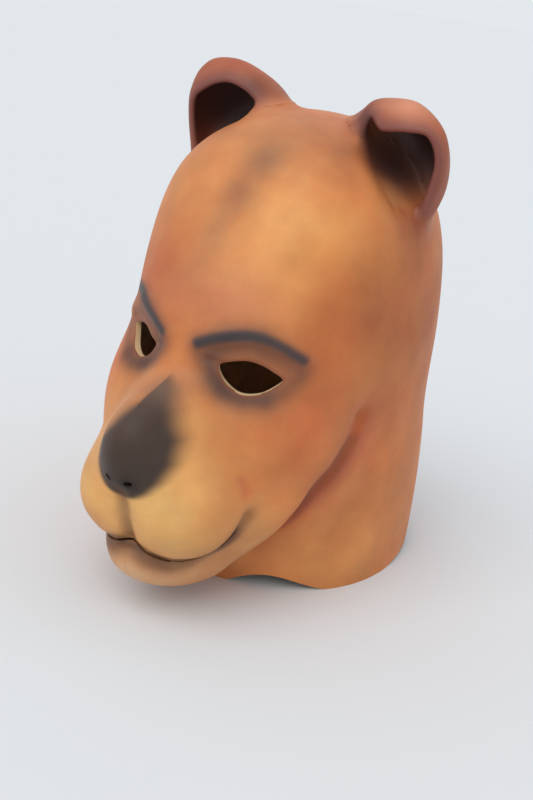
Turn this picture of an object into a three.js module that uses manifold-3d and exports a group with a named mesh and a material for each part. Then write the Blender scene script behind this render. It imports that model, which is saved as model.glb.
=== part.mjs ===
// Full-head bear mask: one moulded latex skin, open at the neck, with two cupped ears,
// two eye holes, two nostril holes and a slit mouth. Millimetres, +Z up. The face looks
// along -Y and the wearer's left is +X. The mask stands on its neck rim at Z = 0.
import * as THREE from 'three'
import { mergeVertices } from 'three/addons/utils/BufferGeometryUtils.js'
import Module from 'manifold-3d'

// Driving sizes
const HEAD_WIDTH = 178        // across the skull, above the cheeks
const HEAD_DEPTH = 298        // nose tip to the back of the head
const CROWN_HEIGHT = 298      // neck rim to the top of the head
const WALL = 3.2              // thickness of the latex
const EAR_WIDTH = 62          // one ear, inner to outer side
const EAR_HEIGHT = 44         // head skin to the top of the ear
const EAR_WALL = 4.2
const EYE_WIDTH = 38
const EYE_HEIGHT = 19
const NOSTRIL = 3.4           // height of a nostril hole
const MOUTH_GAP = 1.6         // height of the mouth slit
const RIM_WAVE = 10           // highest place of the cut rim, above the low places that it stands on
const MUZZLE_LEAN = 4         // the soft muzzle hangs this far to the left at the lips
const FRONT_SHIFT = 6.6       // head axis behind the middle of the whole depth

// The shape is written at the nominal size and scaled with the driving sizes.
const SX = HEAD_WIDTH / 178
const SY = HEAD_DEPTH / 298
const SZ = CROWN_HEIGHT / 298

// Blended ellipsoids: centre, radii, squareness, pitch in degrees (+ = front end down),
// yaw in degrees, blend width, mirrored about X = 0
const LUMPS = [
  { at: [0, 38, 190], r: [88, 96, 106], n: 2.25, pitch: 0, yaw: 0, k: 0, twin: false },     // skull
  { at: [0, 58, 20], r: [92, 98, 230], n: 2.2, pitch: 0, yaw: 0, k: 30, twin: false },      // neck
  { at: [0, 0, 70], r: [62, 52, 66], n: 2, pitch: 0, yaw: 0, k: 30, twin: false },          // throat
  { at: [36, 18, 224], r: [32, 46, 42], n: 2, pitch: 0, yaw: 0, k: 34, twin: true },        // temples
  { at: [0, -14, 172], r: [62.5, 75.5, 62], n: 2.2, pitch: 20, yaw: 0, k: 34, twin: false }, // forehead
  { at: [0, -52, 100], r: [58, 80, 51.5], n: 2, pitch: 24, yaw: 0, k: 30, twin: false },    // muzzle
  { at: [41, -24, 112], r: [36.5, 54, 56], n: 2, pitch: 0, yaw: 0, k: 26, twin: true },     // cheeks
  { at: [0, -111, 112], r: [22, 33, 28], n: 2, pitch: 30, yaw: 0, k: 24, twin: false },     // nose
  { at: [21, -98, 71], r: [30.5, 34, 28], n: 2, pitch: 6, yaw: -14, k: 16, twin: true },    // lip lobes
  { at: [0, -71, 36.5], r: [36, 57, 26.5], n: 2.1, pitch: -6, yaw: 0, k: 12, twin: false }, // lower jaw
  { at: [43.5, -60, 60], r: [16, 38, 16], n: 2, pitch: 44, yaw: -50, k: 16, twin: true },   // jowls
]

// Grooves (depth over 0) and ridges (depth under 0) along short paths on both sides
const LINES = [
  { path: [[10, -89, 170], [28, -83, 178], [42, -73, 179], [56, -60, 172], [64, -52, 165]],
    depth: -1.5, width: 5 },                                                                // brow
  { path: [[26, -66, 17], [36, -60, 27], [46, -54, 39], [55, -50, 52], [65, -47, 67], [74, -39, 82],
    [79, -26, 94], [82, -12, 112], [81, -6, 126]], depth: 3.2, width: 5.5 },                // jaw crease
  { path: [[0, -136, 86], [0, -133, 70], [0, -124, 53]], depth: 2.4, width: 4 },            // philtrum
]

// Shallow dips on both sides: centre, spread and depth
const DIPS = [
  { at: [44, -72, 155], r: [26, 20, 15], depth: 5.1 },      // eye socket
  { at: [60, 33, 284], r: [20, 17, 16], depth: 8 },         // hollow in front of the ear
  { at: [70, 17, 268], r: [18, 16, 19], depth: 8 },         // its run-out down the forehead
]

// Mouth line of one side, on the skin from the middle to the corner
const MOUTH = [[0, -124, 52], [12, -125, 48], [26, -117, 44.5], [36, -107, 47], [45, -99, 55], [51, -90, 65]]

// Eye opening of the wearer's left side: shares of the eye's width and height from its
// centre, first towards the outer corner and then up. Each side has its centre and the way
// to its outer corner: the right one is trimmed a little higher at its outer end.
const EYES = {
  left: { centre: [40, -75, 154.5], along: [32, 20, -4] },
  right: { centre: [40, -75, 156.5], along: [32, 20, 3] },
}
const EYE_OUTLINE = [
  [-0.5, 0.12], [-0.36, 0.3], [-0.1, 0.44], [0.12, 0.4], [0.32, 0.27], [0.5, 0.1],
  [0.4, -0.18], [0.2, -0.46], [-0.08, -0.57], [-0.32, -0.38], [-0.46, -0.1],
]

// Ear sheets, written for the left side at the nominal size: rows from the foot, buried in the
// skin, to the edge, each from the inner end round the back to the outer end. Both ends run
// down into the skin.
const EAR_FOOT = [57, 36, 276]
// The left ear's edge flops forwards over its hollow
const LEFT_EAR = [
  [[34, 21, 287], [29, 37, 288], [39, 51, 284], [54, 59, 270], [70, 55, 255], [79, 46, 246], [81, 35, 244]],
  [[34, 20, 290], [30, 35, 298], [42, 48, 301], [60, 55, 294], [80, 51, 281], [87, 43, 264], [85, 34, 250]],
  [[35, 20, 292], [37, 30, 306], [48, 36, 310.5], [66, 37, 310], [84, 36, 297], [90, 34, 277], [86, 31, 254]],
  [[36, 19, 292], [40, 23, 302], [50, 26, 307], [67, 28, 304.5], [83.5, 29, 295], [89.5, 29, 278],
    [85.5, 29, 254]],
  [[38, 18, 290], [45, 20, 296], [54, 22, 295], [67, 23, 297], [81, 24.5, 294], [88, 26, 280], [84, 27, 252]],
]
// The right ear stands open, with a short rolled lip
const RIGHT_EAR = [
  [[30, 22, 289], [27, 37, 288], [36, 52, 284], [52, 59, 271], [68, 55, 257], [79, 46, 246], [81, 35, 244]],
  [[29.5, 21, 291], [29, 34, 297], [39, 49, 301], [58, 56, 296], [77, 51, 285], [87, 42, 267], [84, 33, 250]],
  [[31, 20, 293], [37, 31, 304], [49, 35, 312], [65, 34, 315.5], [82, 30, 311], [90, 28, 292], [86, 28, 257]],
  [[33, 19, 292], [39, 24, 303], [50, 25, 310], [64, 24, 313], [80, 22, 307], [88.5, 21, 291], [84.5, 25, 256]],
  [[35, 18, 290], [39, 20, 298], [50, 20, 304], [62, 18, 306], [76, 17, 300], [85, 17, 288], [82.5, 24, 254]],
]

const wasm = await Module()
wasm.setup()

const scaled = (p) => new THREE.Vector3(p[0] * SX, p[1] * SY, p[2] * SZ)

// Closed triangle mesh to a solid
function solid(points, triangles) {
  const geometry = new THREE.BufferGeometry()
  const flat = points.flatMap((p) => [p.x, p.y, p.z])
  geometry.setAttribute('position', new THREE.Float32BufferAttribute(flat, 3))
  geometry.setIndex(triangles.flat())
  const merged = mergeVertices(geometry, 1e-4)
  const mesh = new wasm.Mesh({
    numProp: 3,
    vertProperties: new Float32Array(merged.attributes.position.array),
    triVerts: new Uint32Array(merged.index.array),
  })
  return new wasm.Manifold(mesh)
}

// Distance-like value of a point to a turned superellipsoid, below 0 inside
function lumpDistance(lump, x, y, z) {
  let dx = x - lump.at[0] * SX
  let dy = y - lump.at[1] * SY
  let dz = z - lump.at[2] * SZ
  const yaw = THREE.MathUtils.degToRad(lump.yaw)
  const pitch = THREE.MathUtils.degToRad(lump.pitch);
  [dx, dy] = [dx * Math.cos(yaw) + dy * Math.sin(yaw), dy * Math.cos(yaw) - dx * Math.sin(yaw)];
  [dy, dz] = [dy * Math.cos(pitch) + dz * Math.sin(pitch), dz * Math.cos(pitch) - dy * Math.sin(pitch)]
  const rx = lump.r[0] * SX
  const ry = lump.r[1] * SY
  const rz = lump.r[2] * SZ
  const sum = Math.abs(dx / rx) ** lump.n + Math.abs(dy / ry) ** lump.n + Math.abs(dz / rz) ** lump.n
  const k0 = sum ** (1 / lump.n) + 1e-6
  const k1 = Math.hypot(dx / rx ** 2, dy / ry ** 2, dz / rz ** 2) + 1e-9
  return THREE.MathUtils.clamp(k0 * (k0 - 1) / k1, -60, 200)
}

// Distance of a point to a path of straight pieces
function pathDistance(path, x, y, z) {
  const point = new THREE.Vector3(x, y, z)
  const nearest = new THREE.Vector3()
  let best = Infinity
  for (let i = 0; i < path.length - 1; i += 1) {
    const piece = new THREE.Line3(scaled(path[i]), scaled(path[i + 1]))
    piece.closestPointToPoint(point, true, nearest)
    best = Math.min(best, nearest.distanceTo(point))
  }
  return best
}

// How far the muzzle leans to the left at a place: nothing above the nose, all of it at the lips
function muzzleLean(y, z) {
  const low = 1 - THREE.MathUtils.smoothstep(z, 50 * SZ, 120 * SZ)
  const front = 1 - THREE.MathUtils.smoothstep(y, -90 * SY, -50 * SY)
  return MUZZLE_LEAN * SX * low * front
}

// Value of the head form at a point, below 0 inside; widen makes the grooves broader
function headForm(across, y, z, widen) {
  const x = across - muzzleLean(y, z)
  let value = 0
  LUMPS.forEach((lump, i) => {
    const side = lump.twin ? Math.abs(x) : x
    const d = lumpDistance(lump, side, y, z)
    if (i === 0) {
      value = d
      return
    }
    const blend = lump.k * SX
    const h = Math.max(blend - Math.abs(value - d), 0) / blend
    value = Math.min(value, d) - h * h * blend * 0.25
  })
  for (const line of LINES) {
    const d = pathDistance(line.path, Math.abs(x), y, z)
    value += line.depth * SX * Math.exp(-((d / (line.width * SX * widen)) ** 2))
  }
  for (const dip of DIPS) {
    const a = (Math.abs(x) - dip.at[0] * SX) / (dip.r[0] * SX)
    const b = (y - dip.at[1] * SY) / (dip.r[1] * SY)
    const c = (z - dip.at[2] * SZ) / (dip.r[2] * SZ)
    value += dip.depth * SX * Math.exp(-(a * a + b * b + c * c))
  }
  return value
}

// Distance from a point inside the head to the skin, along a direction, less an inset
function reach(origin, direction, inset, widen) {
  let t = 1.5 * HEAD_WIDTH
  for (let i = 0; i < 60; i += 1) {
    const x = origin.x + direction.x * t
    const y = origin.y + direction.y * t
    const z = origin.z + direction.z * t
    const d = headForm(x, y, z, widen) + inset
    t = Math.max(1, t - THREE.MathUtils.clamp(d, -20, 20) * 0.9)
  }
  return t
}

// Axis of the head: it runs further forward beside the muzzle than in the skull
function axisPoint(z) {
  const t = THREE.MathUtils.smoothstep(z, 100 * SZ, 190 * SZ)
  return new THREE.Vector3(0, (-8 + 43 * t) * SY, z)
}

// Height of the cut edge around the head: four low places at Z = 0 with waves between, the
// highest of them under the left cheek and the lowest behind the right one
function rimHeight(u) {
  const wave = Math.max(0, Math.sin(4 * u - 2.97) + 0.5) / 1.5
  return RIM_WAVE * (0.55 + 0.45 * Math.cos(u - 1.13)) * wave
}

// Closed head form: rows of rays from the axis up to the level of the brow, then a fan of
// rays up to the crown. inset is the distance inside the skin; drop lowers the first row.
function headSolid(columns, lowRows, fanRows, inset, widen, drop) {
  const top = 185 * SZ
  const points = []
  const triangles = []
  const rows = lowRows + fanRows
  for (let j = 0; j < rows; j += 1) {
    for (let i = 0; i < columns; i += 1) {
      const turn = (i / columns) * 2 * Math.PI
      const u = turn - 0.3 * Math.sin(turn)
      const share = (j / (lowRows - 1)) ** 1.35
      const lean = j < lowRows ? 0 : ((j - lowRows + 1) / (fanRows + 1)) * Math.PI / 2
      const start = rimHeight(u) * (drop > 0 ? 0 : 1)
      const z = j < lowRows ? start + (top - start) * share : top
      const origin = axisPoint(z)
      const direction = new THREE.Vector3(
        Math.sin(u) * Math.cos(lean), -Math.cos(u) * Math.cos(lean), Math.sin(lean))
      const t = reach(origin, direction, inset, widen)
      const point = origin.clone().addScaledVector(direction, t)
      if (j === 0) {
        point.z -= drop
      }
      points.push(point)
    }
  }
  const apexAxis = axisPoint(top)
  const apex = apexAxis.clone()
  apex.z += reach(apexAxis, new THREE.Vector3(0, 0, 1), inset, widen)
  points.push(apex)
  points.push(new THREE.Vector3(0, 50 * SY, -drop))
  const last = points.length - 1
  for (let i = 0; i < columns; i += 1) {
    const n = (i + 1) % columns
    for (let j = 0; j < rows - 1; j += 1) {
      const a = j * columns + i
      const b = j * columns + n
      const c = b + columns
      const d = a + columns
      triangles.push([a, b, c], [a, c, d])
    }
    triangles.push([(rows - 1) * columns + i, (rows - 1) * columns + n, last - 1])
    triangles.push([n, i, last])
  }
  return solid(points, triangles)
}

// Straight prism from an outline of points, pushed both ways along a direction
function prism(outline, direction, ahead, behind) {
  const count = outline.length
  const front = outline.map((p) => p.clone().addScaledVector(direction, ahead))
  const back = outline.map((p) => p.clone().addScaledVector(direction, -behind))
  const points = [...front, ...back]
  const triangles = []
  for (let i = 0; i < count; i += 1) {
    const n = (i + 1) % count
    triangles.push([n, i, i + count], [n, i + count, n + count])
    if (i > 0 && i < count - 1) {
      triangles.push([0, i, i + 1], [count, i + 1 + count, i + count])
    }
  }
  const body = solid(points, triangles)
  return body.volume() < 0 ? solid(points, triangles.map((t) => [t[0], t[2], t[1]])) : body
}

// Eye hole cutter of one side
function eyeCutter(side) {
  const eye = side > 0 ? EYES.left : EYES.right
  const centre = scaled(eye.centre)
  const along = scaled(eye.along).normalize()
  const outward = new THREE.Vector3(0.44, -0.9, 0.05).normalize()
  const up = new THREE.Vector3().crossVectors(along, outward).negate().normalize()
  const outline = EYE_OUTLINE.map(([a, b]) => centre.clone()
    .addScaledVector(along, a * EYE_WIDTH).addScaledVector(up, b * EYE_HEIGHT))
  outline.forEach((p) => p.setX(p.x * side))
  outward.setX(outward.x * side)
  if (side < 0) {
    outline.reverse()
  }
  return prism(outline, outward, 7 * WALL, 7.5 * WALL)
}

// Nostril cutter of one side: a small oval hole through the underside of the nose
function nostrilCutter(side) {
  const centre = scaled([7, -139, 94.5])
  const outward = new THREE.Vector3(0.12, -0.8, -0.58).normalize()
  const lean = muzzleLean(centre.y, centre.z)
  const across = new THREE.Vector3(1, 0, 0)
  const down = new THREE.Vector3().crossVectors(across, outward).normalize()
  const outline = []
  for (let i = 0; i < 10; i += 1) {
    const turn = (i / 10) * 2 * Math.PI
    outline.push(centre.clone().addScaledVector(across, Math.cos(turn) * NOSTRIL * 0.75)
      .addScaledVector(down, Math.sin(turn) * NOSTRIL * 0.5))
  }
  outline.forEach((p) => p.setX(p.x * side + lean))
  outward.setX(outward.x * side)
  if (side < 0) {
    outline.reverse()
  }
  return prism(outline, outward, 4.4 * WALL, 3.8 * WALL)
}

// Mouth slit cutter: a thin curved blade that follows the mouth line of both sides
function mouthCutter() {
  const half = MOUTH.map(scaled)
  const left = half.slice(1).reverse().map((p) => new THREE.Vector3(-p.x, p.y, p.z))
  const curve = new THREE.CatmullRomCurve3([...left, ...half])
  const path = curve.getPoints(16)
  const points = []
  const triangles = []
  for (const p of path) {
    const outward = new THREE.Vector3(p.x * 0.6, -60 * SY, 4 * SZ).normalize()
    p.x += muzzleLean(p.y, p.z)
    for (const [out, lift] of [[4, -0.5], [4, 0.5], [-4, 0.5], [-4, -0.5]]) {
      const corner = p.clone().addScaledVector(outward, out * WALL)
      corner.z += lift * MOUTH_GAP
      points.push(corner)
    }
  }
  for (let i = 0; i < path.length - 1; i += 1) {
    for (let k = 0; k < 4; k += 1) {
      const a = i * 4 + k
      const b = i * 4 + (k + 1) % 4
      triangles.push([a, a + 4, b + 4], [a, b + 4, b])
    }
  }
  const e = (path.length - 1) * 4
  triangles.push([0, 1, 2], [0, 2, 3], [e, e + 2, e + 1], [e, e + 3, e + 2])
  const body = solid(points, triangles)
  return body.volume() < 0 ? solid(points, triangles.map((t) => [t[0], t[2], t[1]])) : body
}

// Point of a smooth curve through evenly spaced rows at a share from 0 to 1
function through(rows, share) {
  return new THREE.CatmullRomCurve3(rows, false, 'catmullrom', 0.5).getPoint(share)
}

// One cupped ear: a curved sheet with a round edge, its foot buried in the skin
function earSolid(side) {
  const foot = scaled(EAR_FOOT)
  const rows = side > 0 ? LEFT_EAR : RIGHT_EAR
  const nets = rows.map((row) => row.map(([x, y, z]) => foot.clone().add(new THREE.Vector3(
    (x - EAR_FOOT[0]) * EAR_WIDTH / 62,
    (y - EAR_FOOT[1]) * EAR_WIDTH / 62,
    (z - EAR_FOOT[2]) * EAR_HEIGHT / 44))))
  const across = 19
  const along = 10
  const middle = (u, v) => through(nets.map((row) => through(row, u)), v)
  const points = []
  const triangles = []
  for (let i = 0; i < across; i += 1) {
    const u = i / (across - 1)
    const sheet = []
    for (let j = 0; j < along; j += 1) {
      const v = j / (along - 1)
      const p = middle(u, v)
      const du = middle(Math.min(1, u + 0.01), v).sub(middle(Math.max(0, u - 0.01), v))
      const dv = middle(u, Math.min(1, v + 0.01)).sub(middle(u, Math.max(0, v - 0.01)))
      const normal = new THREE.Vector3().crossVectors(du, dv).normalize()
      sheet.push({ p, normal, dv: dv.normalize() })
    }
    const edge = sheet[along - 1]
    const ring = [
      ...sheet.map((s) => s.p.clone().addScaledVector(s.normal, EAR_WALL / 2)),
      edge.p.clone().addScaledVector(edge.dv, EAR_WALL / 2),
      ...sheet.map((s) => s.p.clone().addScaledVector(s.normal, -EAR_WALL / 2)).reverse(),
    ]
    points.push(...ring)
  }
  const around = 2 * along + 1
  for (let i = 0; i < across - 1; i += 1) {
    for (let k = 0; k < around; k += 1) {
      const a = i * around + k
      const b = i * around + (k + 1) % around
      triangles.push([a, a + around, b + around], [a, b + around, b])
    }
  }
  const end = (across - 1) * around
  for (let k = 0; k < along - 1; k += 1) {
    const low = k
    const high = around - 1 - k
    triangles.push([low, low + 1, high - 1], [low, high - 1, high])
    triangles.push([end + low, end + high - 1, end + low + 1], [end + low, end + high, end + high - 1])
  }
  triangles.push([along - 1, along, along + 1])
  triangles.push([end + along - 1, end + along + 1, end + along])
  points.forEach((p) => p.setX(p.x * side))
  const body = solid(points, triangles)
  return body.volume() < 0 ? solid(points, triangles.map((t) => [t[0], t[2], t[1]])) : body
}

const outer = headSolid(60, 28, 12, 0, 1, 0)
const hollow = headSolid(44, 21, 9, WALL, 1.25, 1.25 * WALL)
const skin = outer
  .add(earSolid(1))
  .add(earSolid(-1))
  .subtract(hollow)
  .subtract(eyeCutter(1))
  .subtract(eyeCutter(-1))
  .subtract(nostrilCutter(1))
  .subtract(nostrilCutter(-1))
  .subtract(mouthCutter())

const cut = skin.getMesh()
const geometry = new THREE.BufferGeometry()
const corners = []
for (let i = 0; i < cut.vertProperties.length; i += cut.numProp) {
  corners.push(cut.vertProperties[i], cut.vertProperties[i + 1] - FRONT_SHIFT, cut.vertProperties[i + 2])
}
geometry.setAttribute('position', new THREE.Float32BufferAttribute(corners, 3))
geometry.setIndex(Array.from(cut.triVerts))
geometry.computeVertexNormals()

const latex = new THREE.MeshStandardMaterial({ color: 0xc47a3c, roughness: 0.55, metalness: 0 })
const mask = new THREE.Mesh(geometry, latex)
mask.name = 'mask_skin'

const bearMask = new THREE.Group()
bearMask.name = 'bear_mask'
bearMask.add(mask)

export default bearMask
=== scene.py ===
import math

import bpy
import numpy as np
from mathutils import Matrix, Vector


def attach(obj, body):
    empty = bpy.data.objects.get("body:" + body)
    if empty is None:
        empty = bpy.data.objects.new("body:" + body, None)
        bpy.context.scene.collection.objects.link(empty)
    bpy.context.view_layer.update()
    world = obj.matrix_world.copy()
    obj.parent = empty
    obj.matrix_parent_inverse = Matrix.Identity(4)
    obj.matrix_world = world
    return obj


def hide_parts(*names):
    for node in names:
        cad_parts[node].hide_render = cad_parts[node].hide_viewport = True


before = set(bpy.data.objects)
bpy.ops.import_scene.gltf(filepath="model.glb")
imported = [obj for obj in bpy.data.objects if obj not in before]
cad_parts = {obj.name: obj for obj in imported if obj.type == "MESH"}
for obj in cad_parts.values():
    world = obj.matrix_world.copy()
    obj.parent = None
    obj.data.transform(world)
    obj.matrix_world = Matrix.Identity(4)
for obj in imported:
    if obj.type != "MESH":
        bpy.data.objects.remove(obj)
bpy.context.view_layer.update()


# The cast head. One pull of latex from a mould, a little over 3 mm thick, open at the neck: a hood with a
# low forehead, a long muzzle that hangs down in front, two full lip lobes and a soft lower jaw.
WALL = 3.2  # of the skin, in millimetres as all lengths here
FRONT_SHIFT = 6.6  # of the head's axis behind the middle of the whole part
MUZZLE_LEAN = 4.0  # of the soft muzzle to the left, at the lips
RIM_WAVE = 10.0  # highest place of the cut neck rim
DOME_LEVEL = 185.0  # where the cast begins to close upwards
# centre, radii, squareness, nose-down tilt, turn, blend with what came before, one on each side
HEAD_LUMPS = [
    ((0, 38, 190), (88, 96, 106), 2.25, 0, 0, 0, False),  # skull
    ((0, 58, 20), (92, 98, 230), 2.2, 0, 0, 30, False),  # neck
    ((0, 0, 70), (62, 52, 66), 2.0, 0, 0, 30, False),  # throat
    ((36, 18, 224), (32, 46, 42), 2.0, 0, 0, 34, True),  # temples
    ((0, -14, 172), (62.5, 75.5, 62), 2.2, 20, 0, 34, False),  # brow
    ((0, -52, 100), (58, 80, 51.5), 2.0, 24, 0, 30, False),  # muzzle
    ((41, -24, 112), (36.5, 54, 56), 2.0, 0, 0, 26, True),  # cheeks
    ((0, -111, 112), (22, 33, 28), 2.0, 30, 0, 24, False),  # nose
    ((21, -98, 71), (30.5, 34, 28), 2.0, 6, -14, 16, True),  # lip lobes
    ((0, -71, 36.5), (36, 57, 26.5), 2.1, -6, 0, 12, False),  # lower jaw
    ((43.5, -60, 60), (16, 38, 16), 2.0, 44, -50, 16, True),  # jowls
]
MOUTH_LINE = [(0, -124, 52), (12, -125, 48), (26, -117, 44.5), (36, -107, 47), (45, -99, 55), (51, -90, 65)]
JAW_CREASE = [(26, -66, 17), (36, -60, 27), (46, -54, 39), (55, -50, 52), (65, -47, 67), (74, -39, 82),
              (79, -26, 94), (82, -12, 112), (81, -6, 126)]
BROW_RIDGE = [(10, -89, 170), (28, -83, 178), (42, -73, 179), (56, -60, 172), (64, -52, 165)]
PHILTRUM = [(0, -136, 86), (0, -133, 70), (0, -124, 53)]
LID_LINE = [(22, -86, 166), (40, -76, 171), (57, -62, 164)]
SMILE_FOLD = [(50, -88, 97), (54, -86, 88)]
# path, depth (below nought stands proud), width
HEAD_LINES = [
    (BROW_RIDGE, -1.5, 5.0),
    (JAW_CREASE, 3.2, 5.5),
    (MOUTH_LINE + [(54, -84, 74)], 3.0, 3.6),
    (PHILTRUM, 2.4, 4.0),
    ([(17, -86, 161), (24, -82, 159)], 1.6, 2.6),  # inner corner of the eye
    (LID_LINE, 1.6, 3.0),
    (SMILE_FOLD, 1.4, 3.0),
]
# centre, spread, depth: the eye socket, the hollow in front of the ear and its run down the forehead
HEAD_DIPS = [((44, -72, 155), (26, 20, 15), 5.1), ((60, 30, 283), (19, 18, 16), 13.0),
             ((70, 17, 268), (18, 16, 19), 8.0)]


def lump_height(points, centre, radii, squareness, tilt, turn):
    """Rough distance to a rounded lump: the point, turned and tilted into the lump's own axes, is divided by
    the radii; its power mean less one is scaled back to millimetres by the slope of that measure."""
    x, y, z = (points - np.array(centre, float)).T
    a, b = math.radians(turn), math.radians(tilt)
    x, y = x * math.cos(a) + y * math.sin(a), y * math.cos(a) - x * math.sin(a)
    y, z = y * math.cos(b) + z * math.sin(b), z * math.cos(b) - y * math.sin(b)
    wide, deep, high = radii
    shares = abs(x / wide) ** squareness + abs(y / deep) ** squareness + abs(z / high) ** squareness
    size = shares ** (1 / squareness) + 1e-6
    slope = np.sqrt((x / wide ** 2) ** 2 + (y / deep ** 2) ** 2 + (z / high ** 2) ** 2) + 1e-9
    return np.clip(size * (size - 1) / slope, -60, 200)


def from_path(points, path):
    """Distance from each point to the nearest point of a bent line: for every straight stretch the point is
    dropped on to it, held between its ends, and the least distance is kept."""
    nearest = np.full(len(points), 1e9)
    for start, end in zip(np.array(path[:-1], float), np.array(path[1:], float)):
        stretch = end - start
        along = np.clip((points - start) @ stretch / (stretch @ stretch), 0, 1)
        nearest = np.minimum(nearest, np.linalg.norm(points - start - along[:, None] * stretch, axis=1))
    return nearest


def soft_step(value):
    """Rises from 0 to 1 as the value does, level at both ends: 3 v squared less 2 v cubed."""
    v = np.clip(value, 0, 1)
    return v * v * (3 - 2 * v)


def straightened(points):
    """The points without the sideways lean of the soft muzzle: the lean grows from nought at 120 mm up to
    its whole value at 50 mm, and from 50 mm to 90 mm in front of the middle, by a soft step each way."""
    lean = MUZZLE_LEAN * soft_step((120 - points[:, 2]) / 70) * soft_step((-50 - points[:, 1]) / 40)
    return points - lean[:, None] * [1, 0, 0]


def one_side(points):
    """The straightened points with both sides laid on the left one: the sideways part without its sign."""
    level = straightened(points)
    return np.stack([abs(level[:, 0]), level[:, 1], level[:, 2]], 1)


def head_height(points):
    """Height above the cast skin, below nought inside: the lumps joined by a minimum whose corner is filled
    over the blend's width, plus each dip and line as its depth times a bell curve of the distance to it."""
    level = straightened(points)
    folded = one_side(points)
    height = None
    for centre, radii, squareness, tilt, turn, blend, twin in HEAD_LUMPS:
        lump = lump_height(folded if twin else level, centre, radii, squareness, tilt, turn)
        if height is None:
            height = lump
        else:
            fill = np.maximum(blend - abs(height - lump), 0) / blend
            height = np.minimum(height, lump) - fill * fill * blend / 4
    for centre, radii, depth in HEAD_DIPS:
        height = height + depth * np.exp(-(((folded - centre) / radii) ** 2).sum(1))
    for path, depth, width in HEAD_LINES:
        height = height + depth * np.exp(-((from_path(folded, path) / width) ** 2))
    return height


def cast_rings(columns, rows, dome_rows, inset, low_edge=None):
    """Rings of skin points from the neck to the crown. Rays shoot out from a bent spine, level up to the dome
    and then fanning up to the crown, and each walks in from 230 mm out, by nine tenths of the height at a
    time, until the height is nought. The columns crowd towards the face by a share of a sine, and the rows
    towards the neck by a power. The lowest ring is the wavy cut rim, or lies level at the low edge."""
    turn = np.linspace(0, 2 * math.pi, columns, endpoint=False)
    turn = turn - 0.45 * np.sin(turn)
    if low_edge is None:
        waves = np.maximum(0, np.sin(4 * turn - 2.97) + 0.5) / 1.5
        floor = (RIM_WAVE * (0.55 + 0.45 * np.cos(turn - 1.13)) * waves)[None, :]
    else:
        floor = np.full((1, columns), float(low_edge))
    share = (np.arange(rows) / rows)[:, None] ** 1.25
    level = floor + (DOME_LEVEL - floor) * share
    lean = (np.arange(dome_rows) / dome_rows * math.pi / 2)[:, None] + np.zeros((1, columns))
    level = np.concatenate([level, np.full(lean.shape, DOME_LEVEL)])
    lean = np.concatenate([np.zeros((rows, columns)), lean])
    spin = turn[None, :] + np.zeros(lean.shape)
    ray = np.stack([np.sin(spin) * np.cos(lean), -np.cos(spin) * np.cos(lean), np.sin(lean)], -1)
    ray = ray.reshape(-1, 3)
    root = np.stack([0 * level, -8 + 43 * soft_step((level - 100) / 90), level], -1).reshape(-1, 3)
    reach = np.full(len(ray), 230.0)
    for _ in range(38):
        step = head_height(root + ray * reach[:, None]) + inset
        reach = np.maximum(reach - np.clip(step, -20, 20) * 0.9, 1)
    return (root + ray * reach[:, None]).reshape(rows + dome_rows, columns, 3)


def solid_from_rings(name, rings):
    """A closed solid from stacked rings: four-sided faces between neighbours, and a fan of triangles from
    the mean of the first and of the last ring. The faces turn over if the volume comes out below nought."""
    rows, columns = rings.shape[:2]
    numbers = np.arange(rows * columns).reshape(rows, columns)
    after = np.roll(numbers, -1, 1)
    sides = np.stack([numbers[:-1], after[:-1], after[1:], numbers[1:]], -1).reshape(-1, 4)
    low, high = rows * columns, rows * columns + 1
    fans = np.concatenate([
        np.stack([after[0], numbers[0], np.full(columns, low)], -1),
        np.stack([numbers[-1], after[-1], np.full(columns, high)], -1)])
    spots = np.concatenate([rings.reshape(-1, 3), [rings[0].mean(0)], [rings[-1].mean(0)]])
    corners = np.concatenate([spots[fans], spots[sides[:, :3]], spots[sides[:, [0, 2, 3]]]])
    if np.einsum("ij,ij->i", corners[:, 0], np.cross(corners[:, 1], corners[:, 2])).sum() < 0:
        sides, fans = sides[:, ::-1], fans[:, ::-1]
    mesh = bpy.data.meshes.new(name)
    metres = (spots - [0, FRONT_SHIFT, 0]) / 1000
    mesh.from_pydata(metres.tolist(), [], sides.tolist() + fans.tolist())
    thing = bpy.data.objects.new(name, mesh)
    bpy.context.scene.collection.objects.link(thing)
    return thing


skin_rings = cast_rings(290, 145, 86, 0)
head_skin = solid_from_rings("mask_cast_skin", skin_rings)
hollow_rings = cast_rings(110, 66, 26, WALL, low_edge=-6)
head_hollow = solid_from_rings("hollow_of_the_hood", hollow_rings)


# The ears. Each is a thick rounded sheet of the same latex, cast with the head: its foot runs round behind
# the ear and the sheet curls forwards. The left one has flopped shut over its hollow, the right one is open.
EAR_WALL = 4.2
EAR_MIDDLE = (60, 36, 284)
EAR_GRID = (26, 88)  # places from the foot to the free edge, and round the ear
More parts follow.
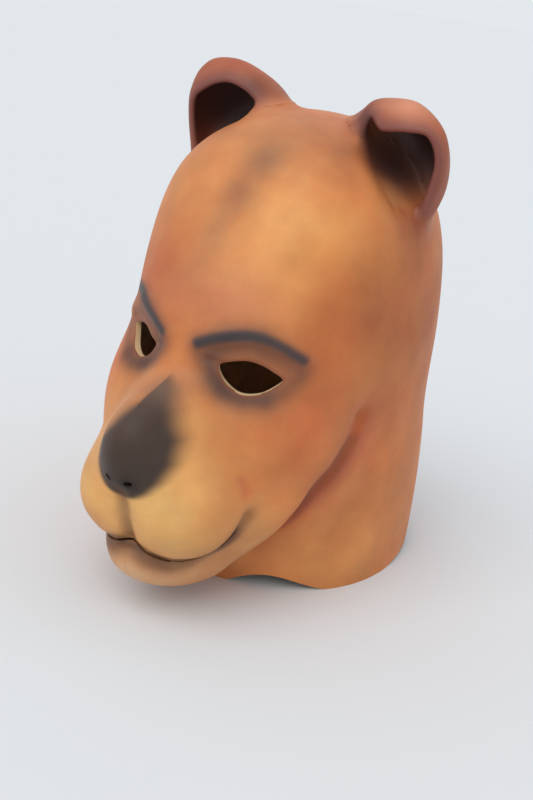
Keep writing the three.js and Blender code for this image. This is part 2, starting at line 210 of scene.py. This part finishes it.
# rows from the foot, buried in the head, to the free edge, each from the inner end round to the outer end
FLOPPED_EAR = [
    [(34, 21, 287), (29, 37, 288), (39, 51, 284), (54, 59, 270), (68, 53, 256), (75, 44, 247),
     (76, 35, 243)],
    [(34, 20, 290), (30, 35, 298), (42, 48, 301), (60, 55, 294), (80, 51, 281), (87, 43, 264),
     (85, 34, 250)],
    [(35, 20, 292), (37, 30, 306), (48, 36, 310.5), (66, 37, 310), (84, 36, 297), (90, 34, 277),
     (86, 31, 254)],
    [(36, 19, 292), (39, 24, 305), (50, 26, 308), (67, 28, 305), (83.5, 29, 296), (89.5, 29, 278),
     (85.5, 29, 254)],
    [(38, 18, 290), (42, 20.5, 302), (51, 21.5, 296), (67, 22.5, 298), (81, 24, 297), (88, 26, 281),
     (84, 27, 252)]]
OPEN_EAR = [
    [(30, 22, 289), (27, 37, 288), (36, 52, 284), (52, 59, 271), (67, 53, 257), (75, 44, 247),
     (76, 35, 243)],
    [(29.5, 21, 291), (29, 34, 297), (39, 49, 301), (58, 56, 296), (77, 51, 285), (87, 42, 267),
     (84, 33, 250)],
    [(31, 20, 293), (37, 31, 304), (49, 35, 312), (65, 34, 315.5), (82, 30, 311), (90, 28, 292),
     (86, 28, 257)],
    [(33, 19, 292), (39, 24, 303), (50, 25, 310), (64, 24, 313), (80, 22, 307), (88.5, 21, 291),
     (84.5, 25, 256)],
    [(35, 18, 290), (39, 20, 298), (50, 20, 304), (62, 18, 306), (76, 17, 300), (85, 17, 288),
     (82.5, 24, 254)]]


def smooth_through(knots, count):
    """A smooth run through the knots along the first axis: on each stretch the cubic that passes through its
    two ends with a slope of half the way between their neighbours."""
    padded = np.concatenate([[2 * knots[0] - knots[1]], knots, [2 * knots[-1] - knots[-2]]])
    place = np.linspace(0, len(knots) - 1, count)
    first = np.minimum(place.astype(int), len(knots) - 2)
    f = (place - first).reshape((-1,) + (1,) * (knots.ndim - 1))
    a, b, c, d = padded[first], padded[first + 1], padded[first + 2], padded[first + 3]
    squares = 2 * a - 5 * b + 4 * c - d
    cubes = 3 * b - 3 * c + d - a
    return 0.5 * (2 * b + (c - a) * f + squares * f * f + cubes * f ** 3)


def ear_middle(rows, side, finer=1):
    """The middle surface of an ear, smooth through its rows, each carried on into the head at both ends.
    The side is 1 for the left ear and -1 for the right."""
    knots = np.array(rows, float)
    knots = np.concatenate([knots[:, :1] + (-3, 0, -9), knots, knots[:, -1:] + (-10, 2, -12)], 1)
    across = smooth_through(knots, EAR_GRID[0] * finer)
    return smooth_through(np.swapaxes(across, 0, 1), EAR_GRID[1] * finer) * [side, 1, 1]


def ear_sheet(name, rows, side):
    """A closed sheet round the middle surface: half the wall out along the direction square to the surface,
    which at the back of the ear points backwards, then a half-round edge, and half the wall back in."""
    middle = ear_middle(rows, side)
    down = np.gradient(middle, axis=1)
    square = np.cross(np.gradient(middle, axis=0), down)
    square /= np.linalg.norm(square, axis=-1, keepdims=True) + 1e-9
    if square[EAR_GRID[1] // 2, 2, 1] < 0:
        square = -square
    half = EAR_WALL / 2
    edge_way = down[:, -1] / np.linalg.norm(down[:, -1], axis=-1, keepdims=True)
    swing = np.linspace(0, math.pi, 9)[1:-1, None]
    edge = middle[:, -1:] + half * (np.cos(swing) * square[:, -1:] + np.sin(swing) * edge_way[:, None])
    outer, inner = middle + square * half, middle - square * half
    return solid_from_rings(name, np.concatenate([outer, edge, inner[:, ::-1]], 1))


def work_on(body, tool, how):
    """One step of joining or cutting, kept as a modifier until all the steps are in."""
    step = body.modifiers.new(how.lower() + "_" + tool.name, "BOOLEAN")
    step.operation = how
    step.solver = "MANIFOLD"
    step.object = tool


def settle(body, helpers):
    """The body's modifiers become its mesh, and the helpers that they used are cleared away."""
    drawn = body.evaluated_get(bpy.context.evaluated_depsgraph_get())
    finished = bpy.data.meshes.new_from_object(drawn)
    body.modifiers.clear()
    body.data = finished
    for helper in helpers:
        bpy.data.objects.remove(helper)
    return finished


def read_spots(mesh):
    """The mesh's corner points in millimetres, in the head's own frame."""
    flat = np.empty(len(mesh.vertices) * 3)
    mesh.vertices.foreach_get("co", flat)
    return flat.reshape(-1, 3) * 1000 + [0, FRONT_SHIFT, 0]


left_ear = ear_sheet("left_ear_sheet", FLOPPED_EAR, 1)
right_ear = ear_sheet("right_ear_sheet", OPEN_EAR, -1)
for ear in (left_ear, right_ear):
    work_on(head_skin, ear, "UNION")
joined_mesh = settle(head_skin, [left_ear, right_ear])

# The mould has a soft fillet where the ears grow out of the head. Where a point is near both, it moves out
# to the rounded corner between the two heights, along the way that leads away from both.
EAR_FILLET = 16.0


def slope_of(points):
    """Which way the head's height grows: its change over half a millimetre each way along X, Y and Z."""
    return np.stack([head_height(points + half) - head_height(points - half) for half in np.eye(3) / 2], 1)


def fillet_to(points, rows, side):
    """Moves points out to the fillet round one ear's foot. The ear's height is the distance to its middle
    surface less half the wall; the corner of the two heights is filled over the fillet's width. The points
    go in batches, because each is measured against the whole middle surface."""
    middle = ear_middle(rows, side, 2).reshape(-1, 3)
    moved = points.copy()
    near = np.flatnonzero(((points * [side, 1, 1] - EAR_MIDDLE) ** 2).sum(1) < 70 ** 2)
    near = near[abs(head_height(points[near])) < EAR_FILLET]
    for some in np.array_split(near, 12):
        gaps = ((points[some][:, None] - middle) ** 2).sum(2)
        closest = gaps.argmin(1)
        away = points[some] - middle[closest]
        length = np.linalg.norm(away, axis=1) + 1e-6
        above_head = head_height(points[some])
        above_ear = length - EAR_WALL / 2
        fill = np.maximum(EAR_FILLET - abs(above_head - above_ear), 0) / EAR_FILLET
        share = 0.5 + 0.5 * np.clip((above_ear - above_head) / EAR_FILLET, -1, 1)
        way = slope_of(points[some]) * share[:, None] + away / length[:, None] * (1 - share[:, None])
        steep = np.maximum(np.linalg.norm(way, axis=1), 0.45)
        moved[some] += way / steep[:, None] ** 2 * (fill * fill * EAR_FILLET / 4)[:, None]
    return moved


def weigh(group, cover, how):
    """The group's weights for a smoothing pass: the cover of each point, in ten even steps."""
    tenths = np.round(cover * 10).astype(int)
    for tenth in range(1, 11):
        group.add(np.flatnonzero(tenths == tenth).tolist(), tenth / 10, how)


joined_spots = read_spots(joined_mesh)
filleted = fillet_to(fillet_to(joined_spots, FLOPPED_EAR, 1), OPEN_EAR, -1)
joined_mesh.vertices.foreach_set("co", ((filleted - [0, FRONT_SHIFT, 0]) / 1000).ravel())
moved_by = np.linalg.norm(filleted - joined_spots, axis=1)
fillet_group = head_skin.vertex_groups.new(name="ear_fillet")
weigh(fillet_group, np.clip(moved_by / 2, 0, 1), "REPLACE")
ends_group = head_skin.vertex_groups.new(name="ear_ends")
for end, spread in (((36, 19, 291), 11), ((82, 28, 246), 13), ((80, 44, 243), 13)):
    from_end = np.linalg.norm(one_side(filleted) - end, axis=1)
    weigh(ends_group, soft_step((spread - from_end) / 6), "ADD")
for group, rounds in ((fillet_group, 8), (ends_group, 30)):
    softened = head_skin.modifiers.new(group.name, "SMOOTH")
    softened.vertex_group = group.name
    softened.factor = 0.6
    softened.iterations = rounds
settle(head_skin, [])


# The holes. Almond eye holes and two nostrils are cut right through the skin, and the mouth is a thin slit
# along the line between the lips, all trimmed by hand after the cast is pulled.
EYE_SIZE = [38, 19]  # wide and high, which the outline's shares are multiplied by
# centre and the way to the outer corner, for the left eye and the right one, which is cut a little higher
EYES = {1: ((40, -75, 154.5), (32, 20, -4)), -1: ((40, -75, 156.5), (32, 20, 3))}
EYE_OUTWARD = np.array([0.44, -0.9, 0.05])
EYE_OUTLINE = [(-0.5, 0.12), (-0.36, 0.3), (-0.1, 0.44), (0.12, 0.4), (0.32, 0.27), (0.5, 0.1), (0.4, -0.18),
               (0.2, -0.46), (-0.08, -0.57), (-0.32, -0.38), (-0.46, -0.1)]
NOSTRIL_CENTRE = np.array([7, -139, 94.5])
NOSTRIL_OUTWARD = np.array([0.12, -0.8, -0.58])
NOSTRIL_HALVES = [2.55, 1.7]
MOUTH_HALF_GAP = 0.8  # up from the mouth line, and as much down


def hole_axes(across, outward):
    """Two directions of unit length in the plane of a hole: across it, and up, square to the other two."""
    across = across / np.linalg.norm(across)
    up = np.cross(outward, across)
    return across, up / np.linalg.norm(up)


def punch(name, outline, centre, across, outward, reach, side):
    """A straight punch: the flat outline is laid out across and up from the centre, and swept from reach
    behind it to reach in front of it. On the right side it is mirrored, and then leant like the muzzle."""
    across, up = hole_axes(np.array(across, float), outward)
    outward = outward / np.linalg.norm(outward)
    flat = np.array(centre, float) + outline[:, :1] * across + outline[:, 1:] * up
    rings = np.stack([flat - outward * reach, flat, flat + outward * reach]) * [side, 1, 1]
    middle = np.array([centre], float) * [side, 1, 1]
    return solid_from_rings(name, rings + (middle - straightened(middle)))


def mouth_blade(name):
    """A blade along the whole mouth line: at each place a small four-sided section, a few skins deep and as
    thick as the gap, thinner at the corners, pointing out from the jaw's middle and leant like the muzzle."""
    half = np.array(MOUTH_LINE, float)
    path = smooth_through(np.concatenate([half[:0:-1] * [-1, 1, 1], half]), 90)
    out = path * [0.6, 0, 0] + [0, -60, 4]
    out /= np.linalg.norm(out, axis=1, keepdims=True)
    path = path + (path - straightened(path))
    thick = np.minimum(1, 0.25 + 6 * (1 - abs(np.linspace(-1, 1, 90))))[:, None] * [0, 0, MOUTH_HALF_GAP]
    reach = out * WALL * 4
    corners = [path + reach + thick, path + reach - thick, path - reach - thick, path - reach + thick]
    return solid_from_rings(name, np.stack(corners, 1))


eye_shape = smooth_through(np.array(EYE_OUTLINE + EYE_OUTLINE[:1], float), 67)[:-1] * EYE_SIZE
around = np.linspace(0, 2 * math.pi, 24, endpoint=False)
nostril_shape = np.stack([np.cos(around), np.sin(around)], 1) * NOSTRIL_HALVES
tools = [mouth_blade("mouth_knife")]
for side, (eye_centre, eye_across) in EYES.items():
    tools.append(punch("eye_punch", eye_shape, eye_centre, eye_across, EYE_OUTWARD, 23, side))
    tools.append(punch("nostril_punch", nostril_shape, NOSTRIL_CENTRE, (1, 0, 0), NOSTRIL_OUTWARD, 12, side))
for tool in [head_hollow] + tools:
    work_on(head_skin, tool, "DIFFERENCE")
skin_mesh = settle(head_skin, [head_hollow] + tools)

spots = read_spots(skin_mesh)
mirrored = one_side(spots)
normals = np.empty(len(spots) * 3)
skin_mesh.vertices.foreach_get("normal", normals)
mirrored_out = normals.reshape(-1, 3)
mirrored_out[:, 0] *= np.sign(spots[:, 0])
height = head_height(spots)


# The airbrush. Thin water colour sprayed on the bare cream latex: gold on the forehead and muzzle, orange
# brown on the sides, slate on nose and brows, and nearly black in the ears, partly painted shade there.
# Every pass has soft edges. Some passes are painted shade in folds, creases and hollows and under overhangs,
# and a few are painted highlights on the nose and painted light on the lower bowls under the ears.
def tint(red, green, blue):
    """A mixed colour, given as on a paint chart from 0 to 255, as light values: shares to the power 2.2."""
    return (np.array([red, green, blue]) / 255) ** 2.2


paint = np.zeros((len(spots), 3)) + tint(204, 126, 74)


def spray(colour, cover):
    """One pass of the airbrush: what is there moves towards the colour by the cover, from 0 to 1."""
    global paint
    paint = paint + (tint(*colour) - paint) * np.clip(cover, 0, 1)[:, None]


def side_only(side):
    """Where a pass lands: 1 is the left side, -1 the right, 0 both as they are, None the two mirrored."""
    if side is None:
        return mirrored
    return spots if side == 0 else spots * [side, 1, 1]


def puff(centre, radii, side=None):
    """The cover of one puff: a bell curve of the distance from its centre, counted in its radii."""
    return np.exp(-(((side_only(side) - centre) / radii) ** 2).sum(1))


def stroke(path, width, power=2, side=None):
    """The cover of one stroke along a path: a bell curve of the distance from it, counted in its width."""
    return np.exp(-((from_path(side_only(side), path) / width) ** power))


# Orange brown sides and neck, a gold forehead with a grey streak, a red band over the brows, and painted
# shadow in front of the inner end of each ear
spray((176, 100, 50), 0.85 * puff((94, 22, 190), (42, 62, 75)))
spray((206, 136, 80), 0.8 * puff((85, 20, 40), (50, 80, 50)))
spray((190, 104, 58), 0.5 * puff((80, 0, 108), (26, 40, 30)))
spray((230, 162, 96), 0.95 * puff((42, -48, 238), (44, 44, 38), 1))
spray((206, 136, 84), 0.85 * puff((36, -48, 244), (36, 44, 36), -1))
spray((196, 128, 88), 0.85 * puff((14, 0, 294), (56, 40, 24)))
spray((208, 128, 88), 0.85 * puff((18, -82, 194), (42, 30, 18)))
spray((180, 100, 60), 0.8 * puff((34, -66, 202), (26, 34, 26), -1))
spray((168, 98, 68), 0.55 * puff((28, -84, 172), (16, 14, 16), -1))
spray((192, 106, 56), 0.75 * puff((70, -42, 190), (18, 28, 26)))
spray((170, 96, 58), 0.5 * puff((84, -10, 196), (12, 20, 26)))
for place, spread, cover in [((4, -29, 271), (14, 16, 14), 0.8), ((-1, -48, 250), (12, 15, 14), 0.6),
                             ((-5, -62, 230), (11, 14, 14), 0.45), ((-8, -74, 210), (12, 14, 14), 0.25)]:
    spray((140, 98, 72), cover * puff(place, spread, 0))
# painted shadow, brown, on the forehead just in front of the inner end of each ear
spray((150, 92, 60), 0.45 * puff((41, -1, 282), (8, 14, 11)))

# A tan muzzle and chin, red cheeks, and painted shade, brown, down the crease behind the jaw
spray((224, 170, 106), 0.95 * puff((0, -112, 92), (60, 58, 50)))
spray((232, 182, 114), 0.7 * puff((30, -125, 76), (26, 26, 20)))
spray((190, 142, 104), 0.9 * puff((0, -104, 29), (58, 50, 23)))
spray((222, 180, 142), 0.6 * puff((0, -122, 31), (22, 20, 13)))
spray((196, 152, 102), 0.6 * puff((46, -66, 56), (18, 18, 18)))
spray((206, 112, 66), 0.85 * puff((68, -62, 132), (19, 26, 26)))
spray((200, 118, 76), 0.65 * stroke(SMILE_FOLD, 4.5))
# painted shade down the crease behind the jaw: a wide soft band, a narrower darker one, and a dark core
spray((176, 84, 40), 0.7 * stroke([(x + 3, y + 7, z - 4) for x, y, z in JAW_CREASE[2:]], 13))
spray((136, 64, 34), 0.8 * stroke([(x + 2, y + 4, z - 2) for x, y, z in JAW_CREASE[3:8]], 6))
spray((104, 48, 30), 0.8 * stroke(JAW_CREASE[4:8], 3))

# Round the eyes: a brown lid that is partly painted shade in its groove, more painted shade under a slate
# brow, dark brown paint below the eye, and the cut edge lined in brown
spray((146, 94, 66), 0.7 * puff((42, -76, 154), (33, 30, 20)))
# brown on the lid, partly painted shade in the groove under the brow ridge
spray((116, 74, 58), 0.8 * stroke(LID_LINE, 6))
spray((84, 66, 62), 0.85 * stroke([(18, -86, 160), (22, -86, 152), (30, -83, 146)], 8))
spray((82, 54, 46), 0.85 * stroke([(28, -83, 146), (40, -79, 141.5), (50, -72, 143)], 7.5))
spray((104, 68, 54), 0.6 * stroke([(50, -72, 143), (58, -64, 148), (63, -56, 157)], 6))
for side, (eye_centre, eye_across) in EYES.items():
    across, up = hole_axes(np.array(eye_across, float), EYE_OUTWARD)
    off_centre = spots * [side, 1, 1] - eye_centre
    flat = np.stack([off_centre @ across, off_centre @ up], 1)
    edge_cover = np.exp(-((from_path(flat, [*eye_shape, eye_shape[0]]) / 1.4) ** 2))
    spray((126, 72, 48), 0.85 * edge_cover * (abs(off_centre @ EYE_OUTWARD) < 25))
left_brow = [(11, -89, 170), (21, -86, 175), (32, -81, 178.5), (42, -73, 179), (52, -64, 174.5),
             (62, -54, 167)]
right_brow = [(16, -88, 170), (26, -84, 176), (38, -76, 181), (48, -67, 184), (58, -56, 182)]
for side, brow in ((1, left_brow), (-1, right_brow)):
    brow_path = smooth_through(np.array(brow, float), 14)
    # painted shade under each brow, 3 mm lower and wider, where the brow ridge stands over the lid
    spray((116, 80, 66), 0.6 * stroke(brow_path - [0, 0, 3], 7, 2, side))
    spray((92, 70, 68), 0.5 * stroke(brow_path[:9] + [0, 0, 1], 6, 2, side))
    spray((64, 61, 66), 0.97 * stroke(brow_path, 3.5, 4, side))

# The slate nose, lighter towards the bridge, with a painted highlight on its top and one down its right edge,
# black nostrils that are painted shade in and round the holes, painted shade down the groove to the mouth,
# under the lip lobes and in the mouth corners, and the dark mouth line
nose_levels = [82, 86, 90, 97, 108, 121, 135, 144, 150]
nose_half = np.interp(spots[:, 2], nose_levels, [-4, 10, 16, 22, 26, 25, 16, 7, -4])
nose_half = np.where(spots[:, 0] < 0, nose_half - 13 * soft_step((spots[:, 2] - 102) / 22), nose_half)
nose_cover = soft_step((nose_half - mirrored[:, 0]) / 10 + 0.6) * soft_step((-88 - spots[:, 1]) / 12)
spray((54, 44, 43), 0.97 * nose_cover)
# a painted highlight, pale grey, on the top of the nose by the bridge
spray((132, 112, 100), 0.7 * puff((2, -106, 141), (13, 14, 12), 0))
# a painted highlight, grey, down the right edge of the nose
spray((104, 92, 88), 0.4 * puff((8, -128, 128), (9, 12, 14), -1))
# painted shade, nearly black, in and round the nostrils
spray((24, 18, 18), 0.95 * puff(NOSTRIL_CENTRE, (5, 8, 4)))
above_mouth = soft_step((spots[:, 2] - 52) / 4)
# painted shade, brown, down the groove from the nose to the mouth
spray((96, 66, 52), 0.85 * stroke(PHILTRUM, 4.2) * above_mouth)
# painted shade, brown, on the lower lip under the overhanging lip lobes
painted_shade_under_lips = [(x, y, z - 4) for x, y, z in MOUTH_LINE]
spray((108, 74, 56), 0.85 * stroke(painted_shade_under_lips, 6))
# painted shade, brown, in the fold at each mouth corner
spray((104, 66, 48), 0.85 * stroke([(46, -97, 56), (51, -91, 64), (56, -84, 73)], 6))
spray((50, 32, 28), 0.97 * stroke(MOUTH_LINE, 2.6))

# The ears: brick red outside, violet on the edges, and black brown deep in the hollows, partly painted shade
# of the deep bowls, with gold on the lower bowls that is partly painted light
ear_zone = soft_step((height - 2.5) / 9) * soft_step((spots[:, 2] - 240) / 12)
# gold on the lower bowl under each ear, partly painted light where the bowl faces up
spray((190, 122, 78), 0.5 * puff((70, 16, 264), (18, 20, 20)))
spray((148, 78, 54), 0.75 * puff((82, 24, 246), (12, 22, 15)))
for wrinkle in ([(74, 16, 256), (77, 18, 246), (79, 20, 232)], [(81, 20, 252), (83, 24, 241), (84, 27, 228)],
                [(70, 10, 258), (72, 8, 244)]):
    spray((138, 68, 48), 0.5 * stroke(wrinkle, 2.4))
spray((156, 88, 70), 0.85 * ear_zone)
for side, rows in ((1, FLOPPED_EAR), (-1, OPEN_EAR)):
    free_edge = smooth_through(np.array(rows[-1], float), 12)
    spray((112, 70, 72), 0.8 * stroke(free_edge, 5, 2, side) * (height > 3))
spray((166, 96, 76), 0.6 * puff((34, 17, 290), (9, 10, 10)))
spray((226, 156, 126), 0.75 * puff((62, 30, 311), (20, 13, 8), 1))
spray((196, 108, 80), 0.5 * puff((52, 30, 316), (24, 12, 8), -1))
spray((118, 72, 66), 0.75 * puff((37, 28, 304), (8, 14, 12), 1))
spray((76, 50, 50), 0.8 * stroke([(37, 18, 289), (41, 20, 300)], 4.5, 2, 1))
spray((98, 56, 44), 0.75 * puff((43, 22, 300), (9, 8, 10), -1))
# black brown deep in the hollows, partly painted shade of the bowls, darkest on the faces that turn into them
spray((92, 56, 48), 0.9 * puff((58, 30, 285), (14, 12, 10)))
to_hollow = np.array([65.0, 34.0, 287.0]) - mirrored
from_hollow = np.linalg.norm(to_hollow, axis=1)
faces_in = soft_step((to_hollow * mirrored_out).sum(1) / (from_hollow + 4) * 2.4)
spray((96, 64, 60), 0.85 * faces_in * np.exp(-((from_hollow / 34) ** 6)))
spray((62, 44, 44), 0.95 * faces_in * np.exp(-((from_hollow / 26) ** 6)))
spray((50, 37, 39), 0.7 * faces_in * np.exp(-((from_hollow / 18) ** 4)))
# gold again on the lower front of the bowl, partly painted light
spray((200, 134, 88), 0.8 * puff((69, 16, 266), (10, 9, 9)))

airbrush = skin_mesh.color_attributes.new("airbrush", "FLOAT_COLOR", "POINT")
opaque_paint = np.concatenate([paint, np.ones((len(paint), 1))], 1)
airbrush.data.foreach_set("color", opaque_paint.astype(np.float32).ravel())


def latex(name, soft_glow, glow_reach):
    """A new material with the light that goes a few millimetres into latex, and a source of places on it."""
    material = bpy.data.materials.new(name)
    material.use_nodes = True
    nodes = material.node_tree.nodes
    shader = nodes["Principled BSDF"]
    shader.inputs["Subsurface Weight"].default_value = soft_glow
    shader.inputs["Subsurface Radius"].default_value = glow_reach
    shader.inputs["Subsurface Scale"].default_value = 0.004
    return material, nodes, material.node_tree.links, shader, nodes.new("ShaderNodeTexCoord")


def speckle(scale, detail):
    """Soft noise on the piece's own coordinates: the scale is about how many spots go to a metre."""
    noise = nodes.new("ShaderNodeTexNoise")
    noise.inputs["Scale"].default_value = scale
    noise.inputs["Detail"].default_value = detail
    links.new(places.outputs["Object"], noise.inputs["Vector"])
    return noise


def band(noise, low, high, lowest, highest):
    """The noise from low to high, stretched in proportion to a value from lowest to highest."""
    stretch = nodes.new("ShaderNodeMapRange")
    for socket, value in (("From Min", low), ("From Max", high), ("To Min", lowest), ("To Max", highest)):
        stretch.inputs[socket].default_value = value
    links.new(noise.outputs["Fac"], stretch.inputs["Value"])
    return stretch


def two_tones(noise, low, low_tone, high, high_tone):
    """One tone up to the low mark of the noise, the other from the high mark, and a straight mix between."""
    ramp = nodes.new("ShaderNodeValToRGB")
    for stop, mark, tone in zip(ramp.color_ramp.elements, (low, high), (low_tone, high_tone)):
        stop.position = mark
        stop.color = (*tone, 1)
    links.new(noise.outputs["Fac"], ramp.inputs["Fac"])
    return ramp


def relief(noise, strength, depth):
    """A bump that follows the noise, of so many metres at full strength."""
    bump = nodes.new("ShaderNodeBump")
    bump.inputs["Strength"].default_value = strength
    bump.inputs["Distance"].default_value = depth
    links.new(noise.outputs["Fac"], bump.inputs["Height"])
    return bump


# the painted outside: the airbrushed colour with its painted shade and highlights, clouded in lightness and
# drifting towards red, a waxy gloss that comes and goes, fine pores and a slight swell of the skin
painted_latex, nodes, links, shader, places = latex("airbrushed_latex_shade_and_highlights", 0.12, (0.9, 0.4, 0.2))
shader.inputs["Specular IOR Level"].default_value = 0.34
sprayed = nodes.new("ShaderNodeAttribute")
sprayed.attribute_name = "airbrush"
cloud_mix = nodes.new("ShaderNodeVectorMath")
cloud_mix.operation = "SCALE"
links.new(sprayed.outputs["Color"], cloud_mix.inputs[0])
links.new(band(speckle(26, 5), 0.3, 0.7, 0.82, 1.1).outputs["Result"], cloud_mix.inputs["Scale"])
drift = speckle(17, 6)
drift.inputs["Roughness"].default_value = 0.62
drift_colours = two_tones(drift, 0.36, (0.96, 0.8, 0.7), 0.62, (1.0, 1.03, 0.98))
drift_mix = nodes.new("ShaderNodeVectorMath")
drift_mix.operation = "MULTIPLY"
links.new(cloud_mix.outputs["Vector"], drift_mix.inputs[0])
links.new(drift_colours.outputs["Color"], drift_mix.inputs[1])
links.new(drift_mix.outputs["Vector"], shader.inputs["Base Color"])
links.new(band(speckle(60, 4), 0, 1, 0.42, 0.6).outputs["Result"], shader.inputs["Roughness"])
pores = relief(speckle(420, 3), 0.12, 0.0004)
swell = relief(speckle(34, 3), 0.45, 0.002)
links.new(swell.outputs["Normal"], pores.inputs["Normal"])
links.new(pores.outputs["Normal"], shader.inputs["Normal"])

# the bare inside and the cut edges: blotchy cream latex with the marks of the brush that laid it
bare_latex, nodes, links, shader, places = latex("bare_cream_latex", 0.2, (0.9, 0.5, 0.3))
shader.inputs["Roughness"].default_value = 0.62
blotch_colours = two_tones(speckle(40, 5), 0.3, tint(206, 166, 122), 0.7, tint(230, 198, 156))
links.new(blotch_colours.outputs["Color"], shader.inputs["Base Color"])
links.new(relief(speckle(150, 4), 0.4, 0.0008).outputs["Normal"], shader.inputs["Normal"])

# bare are the faces whose corners lie under the cast skin on the whole, but for the lips and the nostrils,
# whose cut walls keep the dark paint as painted shade inside the slit and the holes
corner_of = np.empty(len(skin_mesh.loops), np.int32)
skin_mesh.loops.foreach_get("vertex_index", corner_of)
first_corner = np.empty(len(skin_mesh.polygons), np.int32)
skin_mesh.polygons.foreach_get("loop_start", first_corner)
corners = np.diff(np.append(first_corner, len(corner_of)))
face_height = np.add.reduceat(height[corner_of], first_corner) / corners
face_middle = np.add.reduceat(mirrored[corner_of], first_corner) / corners[:, None]
slit = (from_path(face_middle, MOUTH_LINE) < 4) & (face_height > -2.5)
nostrils = np.linalg.norm(face_middle - NOSTRIL_CENTRE, axis=1) < 7
unpainted = (face_height < -0.3) & ~slit & ~nostrils
skin_mesh.materials.clear()
skin_mesh.materials.append(painted_latex)
skin_mesh.materials.append(bare_latex)
skin_mesh.polygons.foreach_set("material_index", unpainted.astype(np.int32))
skin_mesh.polygons.foreach_set("use_smooth", np.ones(len(skin_mesh.polygons), bool))
skin_mesh.set_sharp_from_angle(angle=math.radians(42))
skin_mesh.update()
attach(head_skin, "root")
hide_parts("mask_skin")


# The floor and the light: a plain pale floor that runs out of the picture, one broad soft light from the
# upper left of the camera, and an even pale surround.
floor_half = 40.0
# how far back and how high: flat, then rising gently far behind so that no horizon shows
floor_steps = [(-floor_half, 0.0), (14.0, 0.0), (20.0, 0.5), (28.0, 2.2), (floor_half, 6.0)]
floor_corners = [(side * floor_half, back, high) for back, high in floor_steps for side in (-1, 1)]
floor_faces = [(2 * step, 2 * step + 1, 2 * step + 3, 2 * step + 2) for step in range(len(floor_steps) - 1)]
floor_mesh = bpy.data.meshes.new("pale_floor")
floor_mesh.from_pydata(floor_corners, [], floor_faces)
pale_floor = bpy.data.objects.new("pale_floor", floor_mesh)
bpy.context.scene.collection.objects.link(pale_floor)
floor_paint = bpy.data.materials.new("pale_floor_paint")
floor_paint.use_nodes = True
floor_look = floor_paint.node_tree.nodes["Principled BSDF"]
floor_look.inputs["Base Color"].default_value = (0.7146, 0.7266, 0.7388, 1)
floor_look.inputs["Roughness"].default_value = 0.9
floor_look.inputs["Specular IOR Level"].default_value = 0.1
floor_mesh.materials.append(floor_paint)

broad_light = bpy.data.lights.new("broad_light", "SUN")
broad_light.energy = 1.2
broad_light.angle = 0.9
broad_light.color = (1.0, 0.985, 0.96)
light_stand = bpy.data.objects.new("broad_light", broad_light)
light_stand.rotation_mode = "QUATERNION"
light_stand.rotation_quaternion = Vector((-0.06, -0.60, 0.80)).to_track_quat("Z", "Y")
bpy.context.scene.collection.objects.link(light_stand)
surround = bpy.data.worlds.new("pale_surround")
surround.use_nodes = True
surround.node_tree.nodes["Background"].inputs["Color"].default_value = (0.92, 0.96, 1.0, 1)
surround.node_tree.nodes["Background"].inputs["Strength"].default_value = 0.832
bpy.context.scene.world = surround
bpy.context.scene.view_settings.view_transform = "Standard"


# The camera stands 80 cm in front of the left cheek, a little above the crown, looks slightly down on the
# face and leans a few degrees. The swing is from straight ahead, the rise from level.
swing, rise, lean = math.radians(29.35), math.radians(19.95), math.radians(8.29)
back = np.array([math.sin(swing) * math.cos(rise), -math.cos(swing) * math.cos(rise), math.sin(rise)])
level = np.array([math.cos(swing), math.sin(swing), 0.0])
up = np.cross(back, level)
camera_right = math.cos(lean) * level + math.sin(lean) * up
camera_up = math.cos(lean) * up - math.sin(lean) * level
camera = bpy.data.cameras.new("picture_camera")
camera.lens = 54
camera.sensor_width = 36
camera.clip_start = 0.01
camera.clip_end = 200
camera_stand = bpy.data.objects.new("picture_camera", camera)
camera_turn = Matrix(np.stack([camera_right, camera_up, back], 1).tolist()).to_4x4()
camera_turn.translation = (0.3716, -0.6477, 0.3802)
camera_stand.matrix_world = camera_turn
bpy.context.scene.collection.objects.link(camera_stand)
bpy.context.scene.camera = camera_stand
